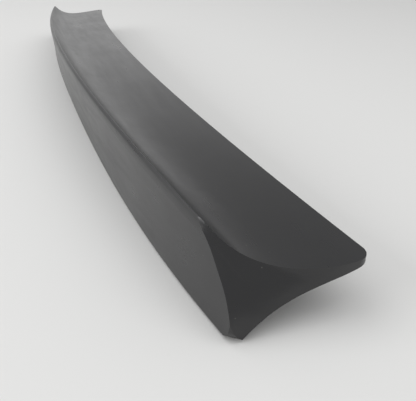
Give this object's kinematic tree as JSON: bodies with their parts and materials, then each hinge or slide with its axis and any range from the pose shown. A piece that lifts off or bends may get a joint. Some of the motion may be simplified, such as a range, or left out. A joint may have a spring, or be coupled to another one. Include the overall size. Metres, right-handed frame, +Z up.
{
  "type": "rear spoiler",
  "caption": "Bowed ducktail boot-lid spoiler: one hollow satin black moulding with a concave top, a flared rear lip, swept-round ends and an open underside that is bonded to the lid",
  "frame": {"origin": "middle of the footprint, on the surface the spoiler lies on", "axes": "X across the car, Y towards the front of the car, Z up; the rear foot line lies in Z = 0"},
  "size_m": [1.3007, 0.1822, 0.11],
  "materials": {
    "black_moulding": "satin"
  },
  "bodies": {
    "root": {"spoiler_body": "black_moulding"}
  },
  "joints": []
}
